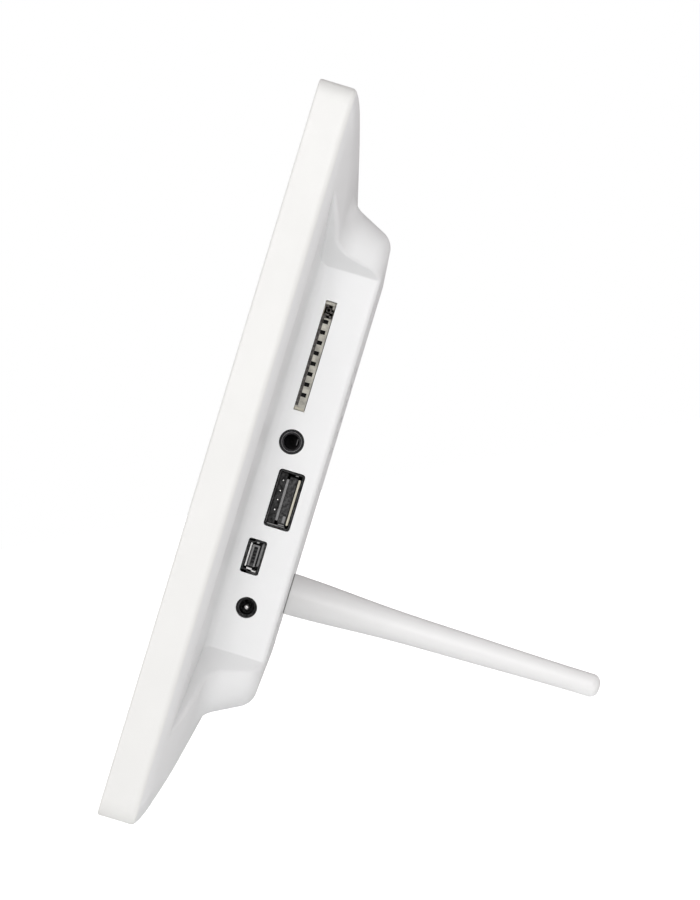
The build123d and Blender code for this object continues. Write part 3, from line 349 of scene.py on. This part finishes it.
def usb_socket():
    """Inside the USB socket: contact carrier, springs with bright tips, liner and shell folds. The black carrier
    and the steel folds are painted light grey, painted highlight; the springs and the tongue face are painted dark
    grey, painted shade on the steel springs and painted sheen on the black tongue, so that the plain steel tips
    stand out bright.
    """
    # Black carrier painted light grey: a painted highlight along the tongue's front edge.
    slabs("usb_a_carrier", "black_plastic", [((68.0, 77.0), (-12.0, -2.2), (18.3, 18.88))], 0.1,
          look="socket_painted_light")
    tips, half_spring, half_tip = (-2.75, -5.2, -7.35, -9.7), 0.35, 0.13
    # Steel springs painted dark grey, painted shade; only their tips keep the plain steel.
    slabs("usb_a_springs", "steel",
          [((67.6, 75.9), (y - half_spring, y + half_spring), (17.45, 17.65)) for y in tips]
          + [((68.0, 75.2), (-12.9, -1.0), (16.65, 18.25))], 0.05, look="socket_painted_shade_and_sheen")
    slabs("usb_a_tips", "steel",
          [((75.8, 76.3), (y - half_tip, y + half_tip), (17.42, 17.68)) for y in tips], 0.08)
    slabs("usb_a_liner", "beige_plastic", [((68.0, 77.15), (-12.5, -1.7), (20.95, 21.45))], 0.08)
    # Black tongue face painted mottled dark grey: painted sheen.
    slabs("usb_a_tongue_face", "black_plastic", [((76.85, 77.0), (-12.4, -1.6), (19.0, 20.7))], 0.05,
          look="socket_painted_shade_and_sheen")
    # Steel shell folds painted light grey: painted highlight on the bent edges.
    slabs("usb_a_shell_folds", "steel",
          [((75.8, 77.3), (-13.2, -12.98), (16.7, 20.9)), ((75.8, 77.2), (-1.1, -0.85), (20.0, 20.7)),
           ((75.8, 77.2), (-12.85, -12.6), (19.2, 20.7)), ((76.9, 77.1), (-12.2, -10.6), (19.9, 20.5))],
          0.06, look="socket_painted_light")


def mini_socket():
    """Inside the small USB socket: its lip, the comb of five contacts and the shell's folds. The steel lip and
    folds are painted white, a painted highlight on the bent edges; the black carrier is painted light grey,
    painted light; the gold contacts are painted black, painted shade.
    """
    # Steel lip painted white: painted highlight.
    slabs("mini_usb_lip", "steel", [((70.5, 77.6), (-23.9, -18.4), (14.66, 15.0))], 0.06, look="tray_white")
    # Black carrier painted light grey: painted light.
    slabs("mini_usb_carrier", "black_plastic",
          [((76.7, 77.0), (-23.7, -18.7), (15.2, 16.95)), ((70.5, 77.2), (-23.4, -18.0), (17.3, 17.75))],
          0.06, look="socket_painted_light")
    contacts, pitch, middle, half_contact = 5, 0.8, -21.0, 0.24
    teeth = [middle + pitch * (k - contacts // 2) for k in range(contacts)]
    # Gold contacts painted black: painted shade.
    comb = slabs("mini_usb_comb", "contact_gold",
                 [((76.9, 77.14), (y - half_contact, y + half_contact), (15.8, 16.5)) for y in teeth]
                 + [((76.9, 77.1), (-23.4, -18.6), (16.9, 17.25))],
                 0.05, look="black_plastic")
    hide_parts("mini_usb_contacts")
    # Steel folds painted white: painted highlight.
    slabs("mini_usb_folds", "steel",
          [((71.0, 77.4), (-24.5, -24.1), (15.2, 16.5)), ((71.0, 77.4), (-24.8, -24.5), (16.4, 17.6)),
           ((71.0, 77.4), (-18.2, -18.0), (15.9, 16.5))], 0.07, look="tray_white")


def power_socket():
    """The turned pin of the power inlet."""
    pin = turned("dc_pin_turned", "steel", (-33.0, 17.9),
                 ((0.02, 69.0), (0.62, 69.0), (0.62, 76.0), (0.5, 76.35), (0.3, 76.5), (0.02, 76.56)))
    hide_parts("dc_pin")


def stand_thread():
    """The stud with its real thread, right-handed and 3 mm a turn."""
    lead, steps, low, high = 3.0, 36, 15.55, 26.0
    core_r, shank_r, chamfer, overlap, into_rod = 2.8, 3.45, 0.4, 1.0, 7.9
    work = bmesh.new()
    profile = ((2.75, 0.0), (2.75, 0.9), (3.45, 1.35), (3.45, 2.25), (2.75, 2.7))
    rows = []
    turns = (high - low) / lead - 1
    for k in range(int(turns * steps) + 1):
        angle = 2 * math.pi * k / steps
        lift = lead * k / steps
        outward = -SIDE * math.cos(angle) + UP * math.sin(angle)
        rows.append([work.verts.new(ROD_FOOT + outward * radius * MM + OUT * (low + lift + rise - BACK) * MM)
                     for radius, rise in profile])
    for near, far in zip(rows, rows[1:]):
        for k in range(len(profile) - 1):
            work.faces.new((near[k], near[k + 1], far[k + 1], far[k]))
    for end in (rows[0], rows[-1]):
        work.faces.new(end)
    around = [SIDE * math.cos(2 * math.pi * k / steps) + UP * math.sin(2 * math.pi * k / steps)
              for k in range(steps)]
    for start, radius in ((low, core_r), (high - overlap, shank_r)):
        circle = []
        for deep, r in ((start, radius - chamfer), (start + chamfer, radius), (high + into_rod, radius)):
            circle.append([work.verts.new(ROD_FOOT + way * r * MM + OUT * (deep - BACK) * MM)
                           for way in around])
        for near, far in zip(circle, circle[1:]):
            for k in range(steps):
                work.faces.new((near[k], near[(k + 1) % steps], far[(k + 1) % steps], far[k]))
        work.faces.new(circle[0])
        work.faces.new(circle[-1])
    bmesh.ops.recalc_face_normals(work, faces=work.faces)
    mesh = bpy.data.meshes.new("stud_thread")
    work.to_mesh(mesh)
    work.free()
    thread = finished("stud_thread", mesh, "screw_steel", "rod", smooth=False)
    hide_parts("stand_stud")


card_slot()
headphone_socket()
usb_socket()
mini_socket()
power_socket()
stand_thread()


# ======================================================================== studio
WORLD_LEVEL, FLOOR_GLOW, FLOOR_SEEN = 0.26, 0.20, 1.2
LIGHT_SIZE = 1.2
LIGHTS = (
    ("key", (2.0, 0.0, 0.15), 20.8),
    ("high", (1.5, 0.0, 1.4), 9.0),
    ("rear", (1.0, 0.9, 0.9), 1.5),
    ("far_back", (-1.5, 1.5, 0.3), 5.0),
    ("front", (-0.9, -1.7, 0.8), 11.0),
)


def studio():
    """A plain pale floor in a plain white surround."""
    world = bpy.data.worlds.new("surround")
    bpy.context.scene.world = world
    world.use_nodes = True
    nodes, links = world.node_tree.nodes, world.node_tree.links
    around = nodes["Background"]
    around.inputs["Color"].default_value = (1.0, 0.92, 0.93, 1)
    around.inputs["Strength"].default_value = WORLD_LEVEL
    seen = nodes.new("ShaderNodeBackground")
    seen.inputs["Color"].default_value = (1, 1, 1, 1)
    seen.inputs["Strength"].default_value = 1.0
    path = nodes.new("ShaderNodeLightPath")
    pick = nodes.new("ShaderNodeMixShader")
    links.new(path.outputs["Is Camera Ray"], pick.inputs["Fac"])
    links.new(around.outputs["Background"], pick.inputs[1])
    links.new(seen.outputs["Background"], pick.inputs[2])
    links.new(pick.outputs["Shader"], nodes["World Output"].inputs["Surface"])

    mesh = bpy.data.meshes.new("floor")
    reach = 6.0
    mesh.from_pydata([(-reach, -reach, 0), (reach, -reach, 0), (reach, reach, 0), (-reach, reach, 0)],
                     [], [(0, 1, 2, 3)])
    floor = bpy.data.objects.new("floor", mesh)
    bpy.context.scene.collection.objects.link(floor)
    material, nodes, links, shader = new_material("floor_white")
    shader.inputs["Base Color"].default_value = (0.88, 0.88, 0.88, 1)
    shader.inputs["Roughness"].default_value = 0.9
    shader.inputs["Specular IOR Level"].default_value = 0.0
    shader.inputs["Emission Color"].default_value = (1, 1, 1, 1)
    seen = nodes.new("ShaderNodeLightPath").outputs["Is Camera Ray"]
    glow = nodes.new("ShaderNodeMapRange")
    glow.inputs["To Min"].default_value = FLOOR_GLOW
    glow.inputs["To Max"].default_value = FLOOR_SEEN
    links.new(seen, glow.inputs["Value"])
    links.new(glow.outputs["Result"], shader.inputs["Emission Strength"])
    mesh.materials.append(material)


def area_light(name, spot, watts):
    lamp = bpy.data.lights.new(name, "AREA")
    lamp.shape = "SQUARE"
    lamp.size = LIGHT_SIZE
    lamp.energy = watts
    light = bpy.data.objects.new(name, lamp)
    light.location = spot
    light.rotation_euler = (Vector((0, 0, 0.08)) - Vector(spot)).to_track_quat("-Z", "Y").to_euler()
    bpy.context.scene.collection.objects.link(light)


# ======================================================================== camera
PANEL_TILT_SEEN = math.radians(16.88)
CAMERA_AWAY, NEAR_SIDE = 700.0, 105.0
CAMERA_UP, CAMERA_DEEP = 8.3, 30.1
LENS_MM, SENSOR_MM = 127.4, 36.0


def add_camera():
    """Level with the sockets and rolled, so that the leaning panel keeps its place."""
    eye = at(NEAR_SIDE + CAMERA_AWAY, CAMERA_UP, CAMERA_DEEP)
    right = UP * math.sin(PANEL_TILT_SEEN) + OUT * math.cos(PANEL_TILT_SEEN)
    above = UP * math.cos(PANEL_TILT_SEEN) - OUT * math.sin(PANEL_TILT_SEEN)
    lens = bpy.data.cameras.new("camera")
    lens.lens = LENS_MM
    lens.sensor_width = SENSOR_MM
    lens.clip_start = 0.01
    camera = bpy.data.objects.new("camera", lens)
    turn = Matrix((right, above, SIDE)).transposed().to_4x4()
    camera.matrix_world = Matrix.Translation(eye) @ turn
    bpy.context.scene.collection.objects.link(camera)
    bpy.context.scene.camera = camera


studio()
for light in LIGHTS:
    area_light(*light)
add_camera()
bpy.context.scene.view_settings.view_transform = "Standard"
